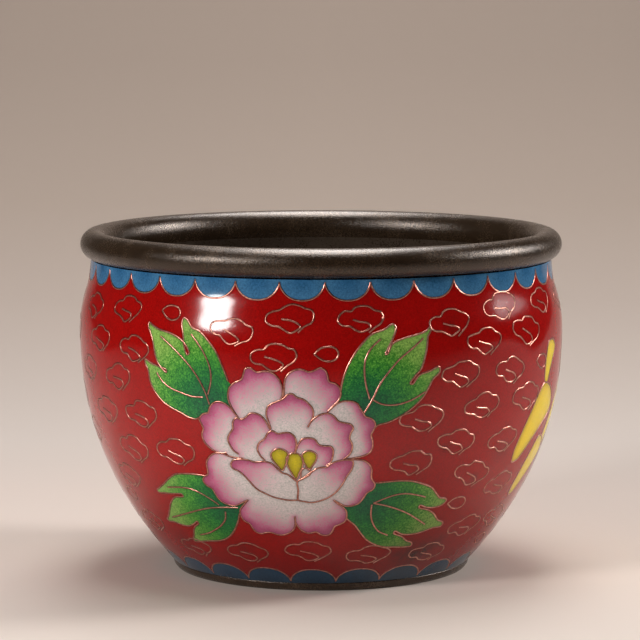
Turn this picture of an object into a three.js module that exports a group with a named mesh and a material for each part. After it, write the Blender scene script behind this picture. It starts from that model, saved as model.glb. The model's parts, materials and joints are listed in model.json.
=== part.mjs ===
// Cloisonne bowl: a spun copper-alloy body with a rolled lip and a ring foot, and the enamel fired on its wall.
// Millimetres, +Z up. The origin is on the bowl's axis, in the plane that the foot stands on.

import * as THREE from 'three';

// Whole bowl
const HEIGHT = 63.5;
const LIP_DIAMETER = 90;
const BELLY_DIAMETER = 90.5;
const FOOT_DIAMETER = 55.3;

// Wall and its layers
const METAL_WALL = 1.4;
const ENAMEL_THICKNESS = 0.9;
const SEAT_CLEARANCE = 0.1;

// Rolled lip, a round bead that stands out past the enamel and in past the bare wall
const LIP_OVERHANG = 1.9;
const LIP_INNER_OVERHANG = 1.0;

// Outline of the enamelled wall: a power curve up to the belly, then a soft shoulder to the lip
const SHOULDER_HEIGHT = 12.2;
const LOWER_WALL_POWER = 2.3;

// Foot ring and base
const FOOT_BAND_HEIGHT = 1.5;
const FOOT_BAND_FLARE = 0.4;
const FOOT_RING_WIDTH = 3.2;
const FOOT_EDGE = 0.4;
const BASE_RECESS = 2.0;
const BASE_THICKNESS = 1.5;
const FLOOR_CORNER = 4.0;

// Facets
const SIDES = 60;
const LOWER_STEPS = 8;
const SHOULDER_STEPS = 4;
const LIP_STEPS = 14;
const CORNER_STEPS = 4;

// Steps of the search for a height on a curved face
const HALVINGS = 40;

// Sizes that follow
const BEAD_RADIUS = (LIP_OVERHANG + ENAMEL_THICKNESS + SEAT_CLEARANCE + METAL_WALL + LIP_INNER_OVERHANG) / 2;
const BEAD_CENTRE = new THREE.Vector2(LIP_DIAMETER / 2 - BEAD_RADIUS, HEIGHT - BEAD_RADIUS);
const ENAMEL_TOP = HEIGHT - 2 * BEAD_RADIUS - SEAT_CLEARANCE;
const NECK_RADIUS = LIP_DIAMETER / 2 - LIP_OVERHANG;
const BELLY_RADIUS = BELLY_DIAMETER / 2;
const BELLY_Z = ENAMEL_TOP - SHOULDER_HEIGHT;
const BAND_TOP_RADIUS = FOOT_DIAMETER / 2 + FOOT_BAND_FLARE;
const METAL_FACE = ENAMEL_THICKNESS + SEAT_CLEARANCE;
const BARE_FACE = METAL_FACE + METAL_WALL;
const FLOOR_Z = BASE_RECESS + BASE_THICKNESS;

const copper = new THREE.MeshStandardMaterial({ color: 0x33291f, roughness: 0.35, metalness: 0.85 });
const enamel = new THREE.MeshStandardMaterial({ color: 0x9c1410, roughness: 0.2, metalness: 0.0 });

// Outer face of the enamel: its radius and its slope (radius gained for each millimetre of height)
function wallAt(z) {
  if (z < BELLY_Z) {
    const rise = BELLY_Z - FOOT_BAND_HEIGHT;
    const below = (BELLY_Z - z) / rise;
    const swell = BELLY_RADIUS - BAND_TOP_RADIUS;
    return {
      radius: BELLY_RADIUS - swell * below ** LOWER_WALL_POWER,
      slope: (swell * LOWER_WALL_POWER * below ** (LOWER_WALL_POWER - 1)) / rise,
    };
  }
  const angle = (Math.PI * (z - BELLY_Z)) / SHOULDER_HEIGHT;
  const swell = (BELLY_RADIUS - NECK_RADIUS) / 2;
  return {
    radius: NECK_RADIUS + swell * (1 + Math.cos(angle)),
    slope: (-swell * Math.sin(angle) * Math.PI) / SHOULDER_HEIGHT,
  };
}

// Point of a face that lies a depth under the enamel's outer face, square to it
function facePoint(z, depth) {
  const { radius, slope } = wallAt(z);
  const length = Math.hypot(1, slope);
  return new THREE.Vector2(radius - depth / length, z + (depth * slope) / length);
}

// The same face as a row of points, from a height of the outer face up to the enamel's top edge
function face(depth, fromZ) {
  const points = [];
  for (let i = 0; i < LOWER_STEPS; i += 1) {
    points.push(facePoint(THREE.MathUtils.lerp(fromZ, BELLY_Z, i / LOWER_STEPS), depth));
  }
  for (let i = 0; i <= SHOULDER_STEPS; i += 1) {
    points.push(facePoint(THREE.MathUtils.lerp(BELLY_Z, ENAMEL_TOP, i / SHOULDER_STEPS), depth));
  }
  return points;
}

// Height of the outer face at which the face a depth under it reaches the wanted height
function heightUnder(wantedZ, depth) {
  let low = FOOT_BAND_HEIGHT;
  let high = ENAMEL_TOP;
  for (let i = 0; i < HALVINGS; i += 1) {
    const middle = (low + high) / 2;
    if (facePoint(middle, depth).y < wantedZ) {
      low = middle;
    } else {
      high = middle;
    }
  }
  return low;
}

// Lip, from the wall's outer face round over the top to its bare inner face
function lipBead() {
  const meets = (radius) => Math.acos((radius - BEAD_CENTRE.x) / BEAD_RADIUS);
  const start = -meets(NECK_RADIUS - METAL_FACE);
  const end = 2 * Math.PI - meets(NECK_RADIUS - BARE_FACE);
  const points = [];
  for (let i = 0; i <= LIP_STEPS; i += 1) {
    const angle = THREE.MathUtils.lerp(start, end, i / LIP_STEPS);
    const arm = new THREE.Vector2(Math.cos(angle), Math.sin(angle)).multiplyScalar(BEAD_RADIUS);
    points.push(arm.add(BEAD_CENTRE));
  }
  return points;
}

// Rounded corner from the bare wall down into the flat floor
function floorCorner(fromZ) {
  const top = facePoint(fromZ, BARE_FACE);
  const knee = new THREE.Vector2(top.x - wallAt(fromZ).slope * (top.y - FLOOR_Z), FLOOR_Z);
  const foot = new THREE.Vector2(knee.x - knee.distanceTo(top), FLOOR_Z);
  return new THREE.QuadraticBezierCurve(top, knee, foot).getPoints(CORNER_STEPS).slice(1);
}

// Foot ring, from the recess under the base out to the seat of the enamel's lower edge
function footRing() {
  const outer = FOOT_DIAMETER / 2;
  const inner = outer - FOOT_RING_WIDTH;
  const { slope } = wallAt(FOOT_BAND_HEIGHT);
  const along = new THREE.Vector2(slope, 1).normalize().multiplyScalar(-SEAT_CLEARANCE);
  return [
    new THREE.Vector2(inner, BASE_RECESS),
    new THREE.Vector2(inner, FOOT_EDGE),
    new THREE.Vector2(inner + FOOT_EDGE, 0),
    new THREE.Vector2(outer - FOOT_EDGE, 0),
    new THREE.Vector2(outer, FOOT_EDGE),
    facePoint(FOOT_BAND_HEIGHT, 0).add(along),
    facePoint(FOOT_BAND_HEIGHT, METAL_FACE).add(along),
  ];
}

function metalProfile() {
  const wallFoot = heightUnder(FLOOR_Z + FLOOR_CORNER, BARE_FACE);
  return [
    new THREE.Vector2(0, BASE_RECESS),
    ...footRing(),
    ...face(METAL_FACE, FOOT_BAND_HEIGHT),
    ...lipBead(),
    ...face(BARE_FACE, wallFoot).reverse(),
    ...floorCorner(wallFoot),
    new THREE.Vector2(0, FLOOR_Z),
  ];
}

function enamelProfile() {
  const outside = face(0, FOOT_BAND_HEIGHT);
  const inside = face(ENAMEL_THICKNESS, FOOT_BAND_HEIGHT).reverse();
  return [...outside, ...inside, outside[0].clone()];
}

// Solid of revolution about +Z
function turned(name, profile, material) {
  const geometry = new THREE.LatheGeometry(profile, SIDES).rotateX(Math.PI / 2);
  const mesh = new THREE.Mesh(geometry, material);
  mesh.name = name;
  return mesh;
}

const bowl = new THREE.Group();
bowl.add(turned('metal_body', metalProfile(), copper));
bowl.add(turned('enamel_coat', enamelProfile(), enamel));

export default bowl;
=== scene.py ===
import json
import math
import random

import bpy
import numpy as np
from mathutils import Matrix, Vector, kdtree
from mathutils.geometry import delaunay_2d_cdt

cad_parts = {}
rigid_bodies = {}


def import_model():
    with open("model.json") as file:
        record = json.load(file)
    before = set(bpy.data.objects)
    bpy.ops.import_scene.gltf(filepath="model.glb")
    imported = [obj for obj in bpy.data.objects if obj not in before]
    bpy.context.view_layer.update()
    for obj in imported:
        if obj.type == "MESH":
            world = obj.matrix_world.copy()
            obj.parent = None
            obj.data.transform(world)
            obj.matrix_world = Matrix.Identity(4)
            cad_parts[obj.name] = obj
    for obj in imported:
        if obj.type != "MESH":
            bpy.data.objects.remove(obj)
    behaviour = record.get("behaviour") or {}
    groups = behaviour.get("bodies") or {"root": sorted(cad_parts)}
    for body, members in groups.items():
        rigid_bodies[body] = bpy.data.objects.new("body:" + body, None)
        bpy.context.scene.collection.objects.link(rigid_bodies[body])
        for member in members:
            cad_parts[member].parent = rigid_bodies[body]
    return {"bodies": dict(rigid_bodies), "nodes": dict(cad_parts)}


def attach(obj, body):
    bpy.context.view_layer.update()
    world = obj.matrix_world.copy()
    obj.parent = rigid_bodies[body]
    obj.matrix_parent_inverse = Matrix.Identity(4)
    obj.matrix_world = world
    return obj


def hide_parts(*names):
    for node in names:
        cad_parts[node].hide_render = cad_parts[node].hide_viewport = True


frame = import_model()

# The wall is unrolled for the ornament: a place on it is (angle, rise).
# The angle is in degrees round the axis from the front (-Y), positive towards +X.
# The rise is in mm along the wall, from the enamel's lower edge.
MM = 0.001
PLANE_PER_DEGREE = 0.70
SEAM = -131.0
FULL_TURN = 360.0
WALL_SAMPLES = 4001

# Enamel and cell wires, mm
SKIN_DEPTH = 0.05
RETURN_DEPTH = 0.88
WIRE_WIDTH = 0.25
WIRE_RISE = 0.02
WIRE_LEAN = 0.95
STAMEN_WIRE_SHARE = 0.8
# Dark flanks along each wire (width, sink, lean of their shading normals), and how far the enamel darkens
# beside the wires
DARK_FLANK_WIDTH = 0.06
DARK_FLANK_SINK = 0.01
DARK_FLANK_LEAN = 1.6
WIRE_DARKENING_REACH = 0.30
GRID_STEP = 0.5
GRID_ROW_SHARE = 0.866
CLEAR_OF_SEAM = 0.2
OUTLINE_STEP = 0.36
CLEAR_OF_OUTLINE = 0.2
RETURN_ROWS = 40

# Tolerances, mm
ON_SECTION = 1e-3
SAME_PLACE = 1e-3
SAME_POINT = 1e-5
LEAST_AREA = 1e-7
ON_SEAM = 1e-4
SEAM_TWIN = 2e-3

# Body, mm
BODY_SIDES = 240
BODY_STEP = 0.55
HEADING_STEP = 0.01
EASE_HANDLE = 0.4
EASE_POINTS = 6
CORNER_TURN = math.radians(29)
CORNER_ROUND = 0.14
LIP_BLEND = 3.4
LIP_BLEND_ABOVE = 55.0
LIP_BLEND_WITHIN = 41.4

# Heights between which the bare inside has its own patina, and its depth under the enamel's face, mm
INSIDE_FLOOR = 3.0
INSIDE_TOP = 58.6
INSIDE_DEPTH = 1.8

# Camera, fitted to the outline in the photo, mm
CAMERA_DISTANCE = 564.06
CAMERA_HEIGHT = 111.23
CAMERA_ASIDE = -0.2
CAMERA_PITCH = math.radians(6.583)
CAMERA_LENS = 169.87
SENSOR_WIDTH = 36
CLIP_START = 0.01


def drop_start_objects():
    """Take out the cube, light and camera that a new file holds."""
    known = set(frame["nodes"].values()) | set(frame["bodies"].values())
    for obj in list(bpy.data.objects):
        if obj not in known and obj.name.split(".")[0] in ("Cube", "Light", "Camera"):
            bpy.data.objects.remove(obj, do_unlink=True)


drop_start_objects()
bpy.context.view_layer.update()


# Profiles, read from the frame

def meridian(node):
    """Run of (radius, height) points in mm that a turned node's section follows."""
    mesh = frame["nodes"][node].data
    links = {}
    for poly in mesh.polygons:
        corners = [mesh.vertices[i].co / MM for i in poly.vertices]
        cut = {(round(c.x, 3), round(c.z, 3)) for c in corners
               if abs(c.y) < ON_SECTION and c.x > -ON_SECTION}
        if len(cut) == 2:
            a, b = cut
            links.setdefault(a, set()).add(b)
            links.setdefault(b, set()).add(a)
    ends = [p for p in links if p[0] == 0.0]
    start = min(ends or links, key=lambda p: p[1])
    run = [start]
    step = max(links[start], key=lambda p: p[0])
    while step is not None:
        run.append(step)
        onward = [p for p in links[step] if p not in run]
        step = onward[0] if onward else None
    return np.array(run)


class Spline:
    """Natural cubic spline through points, by the length of its chords."""

    def __init__(self, points):
        self.points = np.asarray(points, float)
        gaps = np.linalg.norm(np.diff(self.points, axis=0), axis=1)
        self.knots = np.concatenate([[0.0], np.cumsum(gaps)])
        count = len(self.points)
        matrix = np.eye(count)
        right = np.zeros_like(self.points)
        for i in range(1, count - 1):
            matrix[i, i - 1:i + 2] = (gaps[i - 1], 2 * (gaps[i - 1] + gaps[i]), gaps[i])
            after = (self.points[i + 1] - self.points[i]) / gaps[i]
            before = (self.points[i] - self.points[i - 1]) / gaps[i - 1]
            right[i] = 6 * (after - before)
        self.bends = np.linalg.solve(matrix, right)
        self.gaps = gaps

    def at(self, t):
        t = np.asarray(t, float)
        i = np.clip(np.searchsorted(self.knots, t, side="right") - 1, 0, len(self.gaps) - 1)
        gap = self.gaps[i][:, None]
        a = ((self.knots[i + 1] - t)[:, None]) / gap
        b = 1 - a
        straight = a * self.points[i] + b * self.points[i + 1]
        curved = ((a ** 3 - a) * self.bends[i] + (b ** 3 - b) * self.bends[i + 1]) * gap ** 2 / 6
        return straight + curved


class Wall:
    """The enamel's outer face: radius, height and normal for a rise along it."""

    def __init__(self, points):
        spline = Spline(points)
        t = np.linspace(0, spline.knots[-1], WALL_SAMPLES)
        line = spline.at(t)
        steps = np.linalg.norm(np.diff(line, axis=0), axis=1)
        self.rise = np.concatenate([[0.0], np.cumsum(steps)])
        self.radius = line[:, 0]
        self.height = line[:, 1]
        along = np.gradient(line, self.rise, axis=0)
        self.out = along[:, 1]
        self.up = -along[:, 0]
        self.top = self.rise[-1]

    def radius_at(self, rise):
        return np.interp(rise, self.rise, self.radius)

    def place(self, angle, rise, depth):
        """Points (mm) and normals for angles (degrees) and rises, a depth under the CAD face."""
        angle = np.radians(np.asarray(angle, float))
        rise = np.asarray(rise, float)
        out = np.interp(rise, self.rise, self.out)
        up = np.interp(rise, self.rise, self.up)
        r = np.interp(rise, self.rise, self.radius) - depth * out
        z = np.interp(rise, self.rise, self.height) - depth * up
        round_x = np.sin(angle)
        round_y = -np.cos(angle)
        points = np.stack([r * round_x, r * round_y, z], axis=1)
        normals = np.stack([out * round_x, out * round_y, up], axis=1)
        return points, normals


def enamel_face():
    run = meridian("enamel_coat")
    return run[:int(np.argmax(run[:, 1])) + 1]


wall = Wall(enamel_face())


# Meshes

def add_piece(name, points_mm, faces, slot=None, normals=None, materials=(), indices=None):
    """A mesh object from points in mm; with a slot it rides on the bowl."""
    mesh = bpy.data.meshes.new(name)
    mesh.from_pydata((np.asarray(points_mm) * MM).tolist(), [], faces)
    mesh.polygons.foreach_set("use_smooth", [True] * len(mesh.polygons))
    for material in materials:
        mesh.materials.append(material)
    if indices is not None:
        mesh.polygons.foreach_set("material_index", indices)
    if normals is not None:
        mesh.normals_split_custom_set_from_vertices(np.asarray(normals).tolist())
    mesh.update()
    obj = bpy.data.objects.new(name, mesh)
    bpy.context.scene.collection.objects.link(obj)
    if slot:
        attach(obj, "root")
    return obj


def heading_at(spline, t):
    """Unit direction of a spline at a length along it."""
    a, b = spline.at([t - HEADING_STEP, t + HEADING_STEP])
    return (b - a) / np.linalg.norm(b - a)


def corner_ease(corner):
    """Length that a corner is eased over: long where the bead runs down into the bare wall."""
    radius, height = corner
    return LIP_BLEND if height > LIP_BLEND_ABOVE and radius < LIP_BLEND_WITHIN else CORNER_ROUND


def rounded_run(points):
    """A section run with smooth stretches splined and sharp corners eased."""
    points = np.asarray(points, float)
    ways = np.diff(points, axis=0)
    headings = np.unwrap(np.arctan2(ways[:, 1], ways[:, 0]))
    corners = [0] + [i + 1 for i in range(len(ways) - 1)
                     if abs(headings[i + 1] - headings[i]) > CORNER_TURN] + [len(points) - 1]
    stretches, headings_in, headings_out = [], [], []
    for first, last in zip(corners, corners[1:]):
        spline = Spline(points[first:last + 1])
        length = spline.knots[-1]
        ease_in = min(corner_ease(points[first]), length / 3) if first else 0.0
        ease_out = min(corner_ease(points[last]), length / 3) if last < len(points) - 1 else 0.0
        count = max(2, int(length / BODY_STEP) + 1)
        stretches.append(spline.at(np.linspace(ease_in, length - ease_out, count)))
        headings_in.append(heading_at(spline, ease_in))
        headings_out.append(heading_at(spline, length - ease_out))
    out = [stretches[0]]
    for i, stretch in enumerate(stretches[1:]):
        a, b = out[-1][-1], stretch[0]
        gap = np.linalg.norm(b - a)
        t = np.linspace(0, 1, max(EASE_POINTS, int(gap / BODY_STEP) + EASE_POINTS - 2))[1:-1, None]
        leave = a + headings_out[i] * gap * EASE_HANDLE
        arrive = b - headings_in[i + 1] * gap * EASE_HANDLE
        out.append((1 - t) ** 3 * a + 3 * t * (1 - t) ** 2 * leave
                   + 3 * t ** 2 * (1 - t) * arrive + t ** 3 * b)
        out.append(stretch)
    return np.concatenate(out)


def turned(run, sides):
    """Points and faces of a run from axis to axis, turned about Z."""
    ring = run[1:-1]
    angles = np.arange(sides) * 2 * math.pi / sides
    points = [(0, 0, run[0][1])]
    for r, z in ring:
        points += [(r * math.sin(a), -r * math.cos(a), z) for a in angles]
    points.append((0, 0, run[-1][1]))
    faces = []
    last = len(points) - 1
    for j in range(sides):
        k = (j + 1) % sides
        faces.append((0, 1 + k, 1 + j))
        for i in range(len(ring) - 1):
            low, high = 1 + i * sides, 1 + (i + 1) * sides
            faces.append((low + j, low + k, high + k, high + j))
        top = 1 + (len(ring) - 1) * sides
        faces.append((last, top + j, top + k))
    return np.array(points), faces


# Outlines on the unrolled wall

def to_plane(places):
    places = np.asarray(places, float)
    return np.stack([places[:, 0] * PLANE_PER_DEGREE, places[:, 1]], axis=1)


def from_plane(points):
    return points[:, 0] / PLANE_PER_DEGREE, points[:, 1]


def smooth(points, closed=False):
    """Smooth curve that runs through plane points, in steps of about OUTLINE_STEP."""
    points = np.asarray(points, float)
    if closed:
        padded = np.concatenate([points[-1:], points, points[:2]])
    else:
        padded = np.concatenate([2 * points[:1] - points[1:2], points, 2 * points[-1:] - points[-2:-1]])
    out = []
    for p0, p1, p2, p3 in zip(padded, padded[1:], padded[2:], padded[3:]):
        knots = [0.0]
        for a, b in ((p0, p1), (p1, p2), (p2, p3)):
            knots.append(knots[-1] + max(np.linalg.norm(b - a), 1e-6) ** 0.5)
        t0, t1, t2, t3 = knots
        count = max(1, int(math.ceil(np.linalg.norm(p2 - p1) / OUTLINE_STEP)))
        t = np.linspace(t1, t2, count, endpoint=False)[:, None]
        a1 = (t1 - t) / (t1 - t0) * p0 + (t - t0) / (t1 - t0) * p1
        a2 = (t2 - t) / (t2 - t1) * p1 + (t - t1) / (t2 - t1) * p2
        a3 = (t3 - t) / (t3 - t2) * p2 + (t - t2) / (t3 - t2) * p3
        b1 = (t2 - t) / (t2 - t0) * a1 + (t - t0) / (t2 - t0) * a2
        b2 = (t3 - t) / (t3 - t1) * a2 + (t - t1) / (t3 - t1) * a3
        out.append((t2 - t) / (t2 - t1) * b1 + (t - t1) / (t2 - t1) * b2)
    if not closed:
        out.append(points[-1:])
    return np.concatenate(out)


def with_edge_points(outline):
    """A closed outline with points added along its long edges."""
    out = []
    for a, b in zip(outline, np.roll(outline, -1, axis=0)):
        count = max(1, int(math.ceil(np.linalg.norm(b - a) / OUTLINE_STEP)))
        out.append(a + (b - a) * np.linspace(0, 1, count, endpoint=False)[:, None])
    return np.concatenate(out)


class Ornament:
    """Enamel cells, in painting order, and the wires of the unrolled wall."""

    def __init__(self):
        self.cells = []
        self.wires = []

    def cell(self, piece, outline, tint):
        """A closed outline in the plane; tint gives 0 to 1 for points of the plane."""
        x, y = outline[:, 0], outline[:, 1]
        if np.sum(x * np.roll(y, -1) - np.roll(x, -1) * y) < 0:
            outline = outline[::-1]
        self.cells.append({"piece": piece, "outline": with_edge_points(outline), "tint": tint})

    def wire(self, piece, path, closed=False, width=WIRE_WIDTH):
        self.wires.append({"piece": piece, "path": path, "closed": closed, "width": width})


# Petals: share of the long fade, and strength and reach of the richer band along the rim
PETAL_FADE = 0.82
RIM_TINT = 0.30
RIM_REACH = 1.5


def near(path, reach):
    """Tint that is 1 on a path and 0 from a reach away, in mm."""
    def tint(points):
        gaps = np.linalg.norm(points[:, None, :] - path[None, :, :], axis=2).min(axis=1)
        return np.clip(1 - gaps / reach, 0, 1)
    return tint


def fade(start, end, rim):
    """Tint that climbs from a start to an end, with a thin richer band along a rim."""
    way = (end - start) / np.sum((end - start) ** 2)
    def tint(points):
        along = np.clip((points - start) @ way, 0, 1)
        return np.clip(PETAL_FADE * along + RIM_TINT * near(rim, RIM_REACH)(points), 0, 1)
    return tint


def away(centre, reach):
    """Tint that is 0 at a centre and 1 from a reach away, in mm."""
    def tint(points):
        return np.clip(np.linalg.norm(points - np.asarray(centre), axis=1) / reach, 0, 1)
    return tint


# Peony, in (angle, rise). Each petal has its scalloped margin first, then the points that close it,
# then the places where it is pinkest and palest. Later petals lie over earlier ones.
PETALS = [
    # upper left
    ([(-19.1, 36.7), (-20.6, 38.6), (-21.3, 40.3), (-20.9, 42.0), (-19.8, 42.9), (-18.0, 43.6),
      (-17.4, 44.7), (-16.9, 45.6), (-15.9, 45.7), (-14.4, 45.0), (-12.7, 45.2), (-11.3, 45.1),
      (-10.1, 44.5), (-9.2, 43.6), (-8.7, 42.4), (-8.6, 41.2), (-9.0, 40.3)],
     [(-11.0, 37.0), (-15.0, 35.5)],
     (-17.5, 44.6), (-12.6, 37.6)),
    # upper right
    ([(-8.3, 40.9), (-8.2, 42.6), (-7.9, 44.0), (-7.0, 45.0), (-5.4, 45.6), (-4.2, 45.6),
      (-2.7, 45.2), (-1.4, 45.5), (-0.3, 45.9), (0.9, 45.5), (1.4, 44.6), (1.8, 43.5),
      (3.2, 43.1), (4.2, 42.2), (4.3, 41.0), (3.8, 40.1), (2.7, 39.2), (1.6, 38.3)],
     [(-1.0, 36.5), (-6.0, 38.0)],
     (1.2, 44.4), (-5.4, 39.4)),
    # left
    ([(-19.3, 36.8), (-20.1, 37.7), (-21.1, 38.6), (-22.4, 39.2), (-23.9, 39.4), (-25.2, 39.0),
      (-26.1, 38.2), (-26.5, 37.3), (-28.0, 36.9), (-29.0, 36.1), (-28.5, 35.0), (-28.2, 34.2),
      (-28.7, 33.2), (-28.5, 32.0), (-27.6, 31.0), (-26.2, 30.2), (-24.4, 29.8), (-22.9, 29.9)],
     [(-21.6, 29.1), (-17.5, 28.8), (-15.5, 33.0)],
     (-28.2, 35.0), (-21.5, 32.0)),
    # right
    ([(1.6, 38.2), (2.9, 39.2), (4.4, 39.9), (6.5, 40.0), (8.0, 39.6), (9.0, 38.4), (10.0, 37.2),
      (11.5, 36.7), (12.4, 35.7), (12.0, 34.6), (11.5, 33.7), (11.9, 32.6), (12.0, 31.4),
      (11.4, 30.4), (10.0, 29.8), (7.7, 29.4), (5.7, 29.2)],
     [(3.0, 31.0), (2.0, 35.0)],
     (11.6, 34.6), (6.8, 33.6)),
    # lower left
    ([(-18.6, 29.0), (-21.9, 29.2), (-24.0, 29.7), (-26.2, 29.6), (-27.7, 28.8), (-28.7, 27.6),
      (-28.8, 26.2), (-29.0, 25.3), (-30.1, 24.8), (-30.8, 24.0), (-30.2, 23.0), (-28.7, 22.3),
      (-28.1, 21.2), (-27.3, 20.0), (-25.9, 19.3), (-24.1, 19.0), (-22.4, 19.2), (-20.9, 19.8),
      (-19.1, 20.5)],
     [(-12.0, 21.0), (-10.0, 26.0)],
     (-29.0, 24.2), (-20.8, 26.4)),
    # lower right
    ([(5.2, 29.1), (8.2, 29.1), (10.0, 28.9), (11.5, 28.1), (12.2, 27.0), (12.2, 26.0),
      (12.5, 25.0), (13.4, 24.0), (13.0, 23.0), (11.6, 22.3), (10.8, 21.2), (9.5, 20.0),
      (8.0, 19.6), (6.2, 19.6), (4.7, 20.2), (3.2, 20.9)],
     [(-2.0, 21.0), (0.0, 27.0)],
     (12.6, 23.4), (6.4, 24.6)),
    # bottom left
    ([(-19.1, 20.5), (-20.9, 19.1), (-21.9, 18.2), (-22.2, 17.0), (-21.6, 15.8), (-20.1, 15.1),
      (-19.6, 14.2), (-18.8, 13.3), (-17.3, 12.9), (-15.8, 13.2), (-14.3, 13.3), (-12.7, 12.9),
      (-11.0, 12.8), (-9.2, 13.3), (-7.9, 14.0), (-7.2, 15.0), (-7.0, 16.2), (-7.0, 17.2)],
     [(-7.0, 22.0), (-14.0, 23.0)],
     (-15.8, 13.6), (-11.4, 20.0)),
    # bottom right
    ([(-7.0, 17.2), (-7.0, 16.0), (-6.3, 14.8), (-5.2, 13.9), (-3.4, 13.4), (-1.4, 13.7),
      (-0.1, 13.1), (1.1, 12.9), (2.4, 13.1), (3.2, 14.0), (3.8, 15.0), (5.2, 15.5), (6.5, 16.2),
      (6.8, 17.2), (6.6, 18.4), (5.7, 19.3), (4.4, 20.0), (3.2, 20.9)],
     [(0.0, 22.5), (-7.0, 23.0)],
     (0.8, 13.8), (-2.4, 20.2)),
    # centre top
    ([(-11.5, 34.9), (-11.9, 36.0), (-12.4, 37.4), (-12.1, 38.8), (-11.0, 39.5), (-9.5, 40.0),
      (-8.3, 40.5), (-7.4, 41.2), (-6.4, 41.3), (-5.4, 40.7), (-3.9, 40.3), (-2.7, 39.5),
      (-1.9, 38.6), (-1.8, 37.4), (-2.4, 36.2), (-3.0, 35.4)],
     [(-3.0, 31.0), (-11.0, 31.0)],
     (-8.0, 40.6), (-7.2, 35.2)),
    # inner left
    ([(-11.6, 34.7), (-12.6, 36.2), (-13.5, 37.1), (-14.8, 37.6), (-16.1, 37.6), (-17.2, 36.9),
      (-18.3, 36.4), (-19.6, 36.6), (-20.5, 35.8), (-20.6, 34.6), (-21.6, 33.5), (-22.1, 32.6),
      (-21.7, 31.4), (-20.9, 30.4), (-19.8, 29.8)],
     [(-19.5, 28.5), (-12.0, 28.0)],
     (-19.8, 35.6), (-14.0, 30.4)),
    # inner right
    ([(-3.0, 35.3), (-2.2, 36.4), (-1.1, 37.2), (0.1, 37.7), (1.6, 37.8), (2.9, 37.3),
      (3.9, 36.4), (5.2, 36.1), (6.7, 35.8), (7.3, 35.0), (6.8, 34.2), (6.5, 33.2), (7.1, 32.2),
      (7.2, 31.2), (6.5, 30.0), (5.2, 29.2)],
     [(2.0, 28.0), (-4.0, 30.0)],
     (6.4, 35.4), (-0.8, 33.4)),
    # small left
    ([(-13.4, 28.8), (-14.5, 29.8), (-15.0, 31.0), (-14.5, 32.1), (-13.1, 33.0), (-12.3, 34.0),
      (-11.2, 34.5), (-9.9, 34.0), (-8.6, 34.2), (-7.2, 34.2), (-6.2, 33.6), (-5.7, 32.4),
      (-5.9, 31.2), (-6.2, 30.3)],
     [(-7.0, 27.5), (-12.0, 27.5)],
     (-9.4, 34.4), (-12.0, 28.6)),
    # small right
    ([(-6.0, 30.6), (-5.2, 32.2), (-4.2, 33.1), (-2.7, 33.3), (-1.4, 33.0), (-0.6, 32.1),
      (0.6, 31.8), (2.2, 31.7), (2.8, 31.0), (2.7, 29.8), (2.2, 28.6), (1.2, 28.0)],
     [(-2.0, 27.0), (-6.0, 28.0)],
     (1.8, 31.6), (-3.6, 28.2)),
    # boat left
    ([(-22.2, 27.7), (-21.4, 28.5), (-19.3, 28.8), (-17.3, 28.7), (-15.8, 28.4), (-13.5, 28.6),
      (-11.7, 28.2), (-10.5, 27.3)],
     [(-9.5, 26.5), (-8.2, 26.2), (-6.9, 25.4), (-5.9, 24.7), (-5.8, 20.9), (-7.7, 20.8),
      (-10.0, 21.0), (-12.2, 21.4), (-14.5, 22.2), (-16.3, 23.0), (-17.8, 24.4), (-19.1, 25.6),
      (-20.3, 26.4), (-21.8, 26.9)],
     (-20.6, 28.0), (-9.4, 23.2)),
    # boat right
    ([(1.4, 27.7), (2.9, 28.6), (4.7, 29.0), (6.2, 29.1), (7.5, 28.8), (7.4, 27.4), (6.2, 25.8)],
     [(5.2, 24.2), (3.7, 22.6), (1.9, 21.5), (-0.1, 20.8), (-2.4, 20.4), (-4.4, 20.6),
      (-5.8, 20.9), (-5.8, 24.7), (-4.5, 25.4), (-2.5, 26.6), (-0.8, 27.5)],
     (6.2, 28.4), (-2.4, 22.8)),
]

# Pale enamel of the flower's heart, which shows between the petals
PEONY_CORE = [(-20.0, 21.5), (-20.0, 33.0), (-10.0, 38.0), (2.0, 36.0), (6.0, 30.0), (5.0, 22.0),
              (-7.0, 18.5)]
CORE_REACH = 60.0

# Wires of the two boat petals below the stamens, past their margins
BOAT_WIRES = [
    [(-10.5, 27.3), (-9.5, 26.5), (-8.2, 26.2), (-6.9, 25.4), (-5.9, 24.7)],
    [(-5.8, 20.9), (-7.7, 20.8), (-10.0, 21.0), (-12.2, 21.4), (-14.5, 22.2), (-16.3, 23.0),
     (-17.8, 24.4), (-19.1, 25.6), (-20.3, 26.4), (-21.8, 26.9), (-22.2, 27.7)],
    [(6.2, 25.8), (5.2, 24.2), (3.7, 22.6), (1.9, 21.5), (-0.1, 20.8), (-2.4, 20.4), (-4.4, 20.6),
     (-5.8, 20.9), (-5.7, 23.0), (-5.8, 24.7), (-4.5, 25.4), (-2.5, 26.6), (-0.8, 27.5), (1.4, 27.7)],
]

# Stamens: top centre, tip, and width in mm
STAMENS = [
    ((-10.0, 31.2), (-9.3, 26.9), 2.7),
    ((-2.7, 30.9), (-2.9, 27.1), 2.3),
    ((-6.3, 30.5), (-6.1, 25.2), 2.6),
]
PALE_DROP = ((-3.0, 27.4), (-4.9, 25.2), 1.5)

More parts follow.
